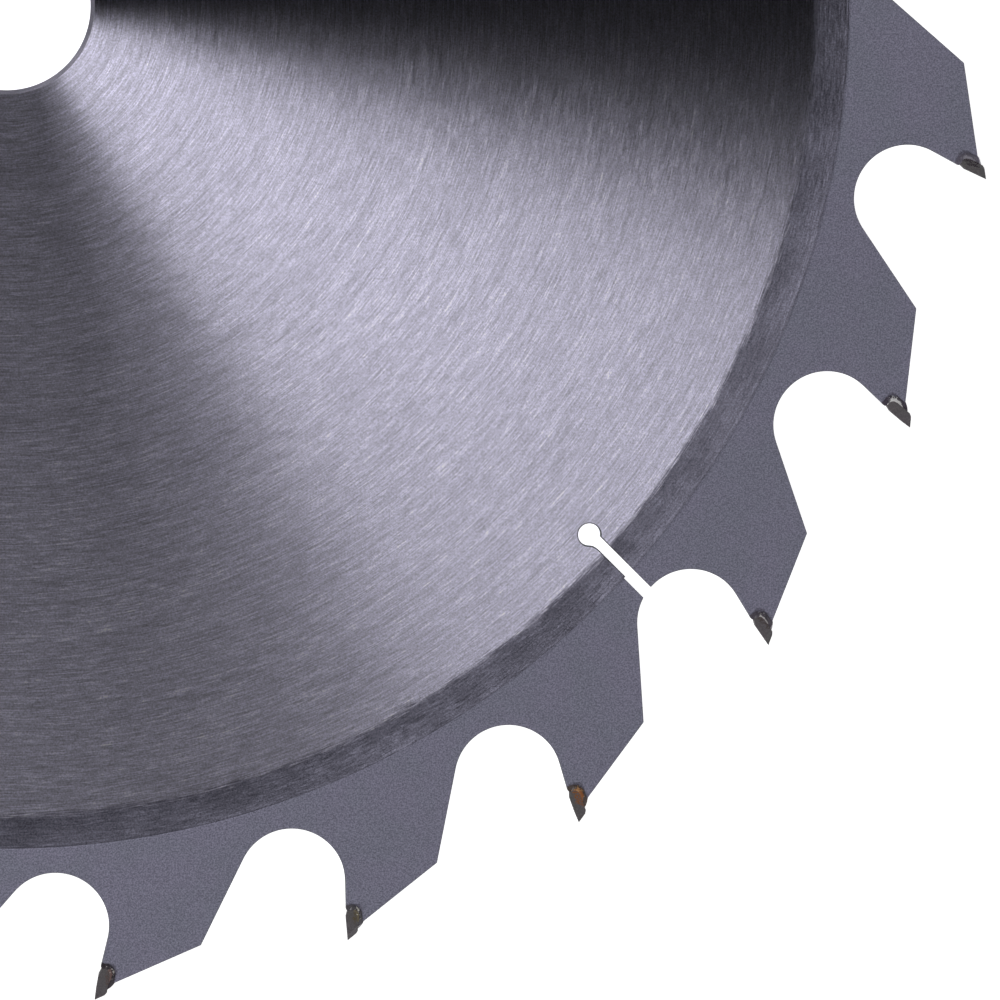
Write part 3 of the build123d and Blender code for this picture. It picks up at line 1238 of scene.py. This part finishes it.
@dataclass
class BrazeBeads:
    """The braze under and behind each tip, and the beads that it left along the tip on both faces."""

    nodes: list[Piece]
    shape: ToothShape = ToothShape()
    reach: float = 0.46
    rim_half: float = Plate.rim_half
    top: float = 1.19
    top_end: float = -1.75
    toe_back: float = 0.3
    sink: float = 0.06
    neck: float = 0.1
    tuck: float = 0.05
    back_steps: int = 14
    toe_steps: int = 3
    lip_steps: int = 10
    lump: float = 0.9
    unevenness: float = 0.7
    tapering: float = 0.6
    top_taper: Span = (0.0, 0.3)
    toe_taper: Span = (0.85, 1.0)
    toe_left: float = 0.45
    lip_start: float = 0.95
    lip_swell: Span = (0.0, 0.6)
    seam_tone: float = 1.2

    def path(self) -> list[Vector]:
        """The tip's edge from the top of its back, round its inner corner to its toe."""
        corner = self.shape.inner_corner()
        top, toe = Vector((self.top_end, corner[0].y)), Vector((corner[-1].x, self.toe_back))
        back = [top.lerp(corner[0], i / self.back_steps) for i in range(self.back_steps)]
        foot = [corner[-1].lerp(toe, (i + 1) / self.toe_steps) for i in range(self.toe_steps)]
        return [self.shape.on_tooth(*point) for point in (*back, *corner, *foot)]

    def section(self) -> list[Vector]:
        """The braze's section: rounded lips on both faces of the plate, joined through the seat by a neck."""
        lip = [pi / 2 * i / self.lip_steps for i in range(self.lip_steps + 1)]
        rise, base = self.top - self.rim_half, self.rim_half - self.sink
        upper = [Vector((self.reach * cos(t), self.rim_half + rise * sin(t))) for t in lip]
        inner, outer = Vector((self.neck, base)), Vector((self.reach, base))
        half = [inner, outer, *upper, Vector((-self.tuck, self.top))]
        return half + [Vector((point.x, -point.y)) for point in reversed(half)]

    def swept(self, work: ShapeTree) -> Socket:
        """The bead swept along the tip's edge and set round all teeth, which keeps its own places by name."""
        sheet, given = work.sheet, work.given
        edge = work.curve(work.read("Tip edge"))
        edge = work.keep(edge, "along", sheet.add("GeometryNodeSplineParameter").outputs["Factor"])
        edge = sheet.result("GeometryNodeSetCurveNormal", {"Curve": edge}, mode="Z_UP")
        section = work.curve(work.read("Section"))
        across = sheet.math("DIVIDE", sheet.split(work.position())[0], given["Reach"])
        section = work.keep(section, "across", across)
        feeds = {"Curve": edge, "Profile Curve": section, "Fill Caps": True}
        bead = sheet.result("GeometryNodeCurveToMesh", feeds)
        copies = work.round_the_teeth(bead)
        copies = work.keep(copies, "tooth", work.index(), data_type="INT", domain="INSTANCE")
        return sheet.result("GeometryNodeRealizeInstances", {0: copies})

    def uneven(self, work: ShapeTree, beads: Socket) -> Socket:
        """The beads swollen and thinned along their lips, each in its own way, and thinner at both ends."""
        sheet, given = work.sheet, work.given
        along = work.kept("along")
        toe = sheet.ramp(along, self.toe_taper, (1.0, self.toe_left))
        ends = sheet.times(sheet.ramp(along, self.top_taper), toe)
        thinning = sheet.times(sheet.minus(ends, 1.0), self.tapering)
        lumps = sheet.noise(work.position(), sheet.per(given["Lump"]), seed=31)
        swell = sheet.math("MULTIPLY_ADD", sheet.minus(lumps, 0.5), given["Unevenness"], thinning)
        above = sheet.ramp(work.height(), (sheet.times(given["Rim half"], self.lip_start), given["Rim half"]))
        lips = sheet.times(above, sheet.ramp(work.kept("across"), self.lip_swell))
        amount = sheet.times(sheet.times(swell, given["Reach"]), lips)
        return work.moved(beads, True, sheet.scaled(work.normal(), amount))

    def dressed(self, work: ShapeTree, beads: Socket) -> Socket:
        """The beads in the looks of their teeth. See BrazeLook.of_tooth."""
        sheet, tooth, looks = work.sheet, work.kept("tooth", "INT"), float(len(BrazeLook))
        rows = sheet.math("FLOOR", sheet.math("DIVIDE", tooth, looks))
        order = sheet.math("MULTIPLY_ADD", rows, float(ROW_SHIFT), tooth)
        for number, look in enumerate(BrazeLook):
            chosen = sheet.math("COMPARE", sheet.math("FLOORED_MODULO", order, looks), float(number), 0.5)
            beads = work.dressed(beads, chosen, look.name.capitalize())
        return sheet.result("GeometryNodeSetShadeSmooth", {"Geometry": beads})

    def build(self) -> Piece:
        """Builds the beads of all teeth over the braze's solids.

        Returns:
            The beads, as one piece.
        """
        work = ShapeTree(
            "Braze beads",
            {
                "Tip edge": thread(self.path(), "tip_edge"),
                "Section": thread(self.section(), "bead_section", True),
                "Teeth": self.shape.teeth,
                "First tooth": radians(self.shape.first_tooth),
                "Reach": self.reach * MM,
                "Rim half": self.rim_half * MM,
                "Unevenness": self.unevenness,
                "Lump": self.lump * MM,
                **{look.name.capitalize(): look.material() for look in BrazeLook},
            },
        )
        piece = work.bake(self.dressed(work, self.uneven(work, self.swept(work))), "braze_beads")
        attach(piece, "root")
        return piece

    def seam(self, look: BrazeLook) -> MattMetal:
        """The matt skin of a look's braze in the seat, in its bead's outer colour of flux and painted shade,
        a little lighter.
        """
        colour = tuple(self.seam_tone * part for part in look.value.outer)
        return MattMetal(
            name="seat_braze_" + look.name.lower(), colour=colour, shade=colour, roughness=0.5, grain=0.2,
            contrast=0.25, depth=0.3, metallic=0.5,
        )

    def dress(self) -> list[Piece]:
        """Gives the braze in the seats its matt finish.

        Returns:
            The braze's solids.
        """
        BrazeLook.dress(self.nodes, {look: self.seam(look).material() for look in BrazeLook})
        return self.nodes


# The studio


@dataclass(frozen=True)
class Softbox:
    """A soft lamp that faces the blade's centre, with its half sizes as angles and its distance in metres."""

    name: str
    azimuth: float
    elevation: float
    half_width: float
    half_height: float
    radiance: float
    distance: float
    oval: bool = False

    def hang(self) -> None:
        """Hangs the lamp, seen in reflections but not by the camera."""
        flat = self.distance * cos(radians(self.elevation))
        turn = -radians(self.azimuth)
        place = Vector((flat * cos(turn), flat * sin(turn), self.distance * sin(radians(self.elevation))))
        lamp = bpy.data.lights.new(self.name, "AREA")
        lamp.shape = "ELLIPSE" if self.oval else "RECTANGLE"
        lamp.size = 2 * flat * tan(radians(self.half_width))
        lamp.size_y = 2 * self.distance * tan(radians(self.half_height))
        lamp.energy = self.radiance * pi * lamp.size * lamp.size_y * (pi / 4 if self.oval else 1)
        hung = bpy.data.objects.new(self.name, lamp)
        hung.location = place
        hung.rotation_euler = (-place).to_track_quat("-Z", "Y").to_euler()
        hung.visible_camera = False
        bpy.context.scene.collection.objects.link(hung)


@dataclass
class Studio:
    """White floor, lamps, dim room and camera. Lengths are in metres, and the lens in millimetres."""

    floor_height: float
    floor_reach: float = 12.0
    floor_glow: float = 0.95
    floor_tone: float = 0.8
    dimness: float = 0.014
    foot: Span = (0.015, 0.04)
    haze: Span = (0.0, 0.5)
    haze_strength: float = 0.45
    eye: tuple[float, float, float] = (0.0, 0.0, 1.0)
    aim: tuple[float, float, float] = (0.04695, -0.04709, 0.0)
    lens: float = 378.2
    sensor_width: float = 36.0
    clip: tuple[float, float] = (0.01, 100.0)
    lamps: tuple[Softbox, ...] = (
        Softbox("key", 217.0, 57.0, 19.5, 21.0, 3.85, 1.6, oval=True),
        Softbox("shoulder", 243.5, 45.0, 9.0, 14.0, 1.9, 1.6),
        Softbox("fill", 95.0, 45.0, 36.0, 15.0, 1.75, 3.0),
        Softbox("right", 305.0, 45.0, 15.0, 12.0, 0.75, 1.6),
    )

    def lay_floor(self) -> None:
        """Lays a floor that is white to the eye and in the metal, and takes the blade's shadow."""
        mesh = bpy.data.meshes.new("floor")
        signs = ((-1, -1), (1, -1), (1, 1), (-1, 1))
        corners = [(x * self.floor_reach, y * self.floor_reach, self.floor_height) for x, y in signs]
        mesh.from_pydata(corners, [], [(0, 1, 2, 3)])
        material, sheet = new_material("white_floor")
        rays = sheet.add("ShaderNodeLightPath").outputs
        seen = sheet.larger(rays["Is Camera Ray"], rays["Is Glossy Ray"])
        seen = sheet.larger(seen, rays["Is Transmission Ray"])
        glow = sheet.result("ShaderNodeEmission", {"Color": (self.floor_glow,) * 3, "Strength": seen})
        matt = sheet.result("ShaderNodeBsdfDiffuse", {"Color": (self.floor_tone,) * 3})
        both = sheet.result("ShaderNodeAddShader", {0: glow, 1: matt})
        sheet.add("ShaderNodeOutputMaterial", {"Surface": both})
        mesh.materials.append(material)
        floor = bpy.data.objects.new("floor", mesh)
        bpy.context.scene.collection.objects.link(floor)
        floor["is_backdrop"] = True

    def dim_room(self) -> None:
        """Surrounds the set with a dim room. To the eye it is white, and metal mirrors it white at its foot.

        Above the foot the mirrored white fades out as a soft haze.
        """
        world = bpy.data.worlds.new("room")
        world.use_nodes = True
        world.node_tree.nodes.clear()
        sheet = NodeSheet(world.node_tree)
        rays = sheet.add("ShaderNodeLightPath").outputs
        height = sheet.math("ABSOLUTE", sheet.split(sheet.add("ShaderNodeTexCoord").outputs["Generated"])[2])
        haze = sheet.ramp(height, self.haze, (self.haze_strength, 0.0))
        backdrop = sheet.larger(sheet.ramp(height, self.foot, FALL), haze)
        mirrored = sheet.larger(rays["Is Glossy Ray"], rays["Is Transmission Ray"])
        white = sheet.larger(rays["Is Camera Ray"], sheet.times(mirrored, backdrop))
        level = sheet.ramp(white, (0.0, 1.0), (self.dimness, 1.0))
        glow = sheet.result("ShaderNodeBackground", {"Color": (1.0, 1.0, 1.0), "Strength": level})
        sheet.add("ShaderNodeOutputWorld", {"Surface": glow})
        bpy.context.scene.world = world

    def set_camera(self) -> None:
        """Sets the camera above the bore, aimed at the lower right quarter."""
        forward = (Vector(self.aim) - Vector(self.eye)).normalized()
        right = forward.cross(Vector((0.0, 1.0, 0.0))).normalized()
        up = right.cross(forward)
        lens = bpy.data.cameras.new("camera")
        lens.lens, lens.sensor_width = self.lens, self.sensor_width
        lens.clip_start, lens.clip_end = self.clip
        camera = bpy.data.objects.new("camera", lens)
        turned = Matrix((right, up, -forward)).transposed().to_4x4()
        camera.matrix_world = Matrix.Translation(self.eye) @ turned
        bpy.context.scene.collection.objects.link(camera)
        bpy.context.scene.camera = camera

    def build(self) -> None:
        """Lays the floor, dims the room, hangs the lamps and sets the camera."""
        self.lay_floor()
        self.dim_room()
        for lamp in self.lamps:
            lamp.hang()
        self.set_camera()
        bpy.context.scene.view_settings.view_transform = "Standard"


def main() -> None:
    logging.basicConfig(level=logging.INFO, format="%(name)s: %(message)s")
    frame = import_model()
    solid_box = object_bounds()
    nodes = frame["nodes"]
    tips = [nodes[name] for name in sorted(nodes) if name.startswith("tip_")]
    braze = BrazeBeads([nodes[name] for name in sorted(nodes) if name.startswith("braze_")])
    LOG.info("plate: %d faces", len(Plate().build().data.polygons))
    LOG.info("carbide tips: %d", len(CarbideTips(tips).dress()))
    LOG.info("braze beads: %d faces", len(braze.build().data.polygons))
    LOG.info("braze in the seats: %d", len(braze.dress()))
    Studio(floor_height=solid_box[0][2]).build()


if __name__ == "__main__":
    main()
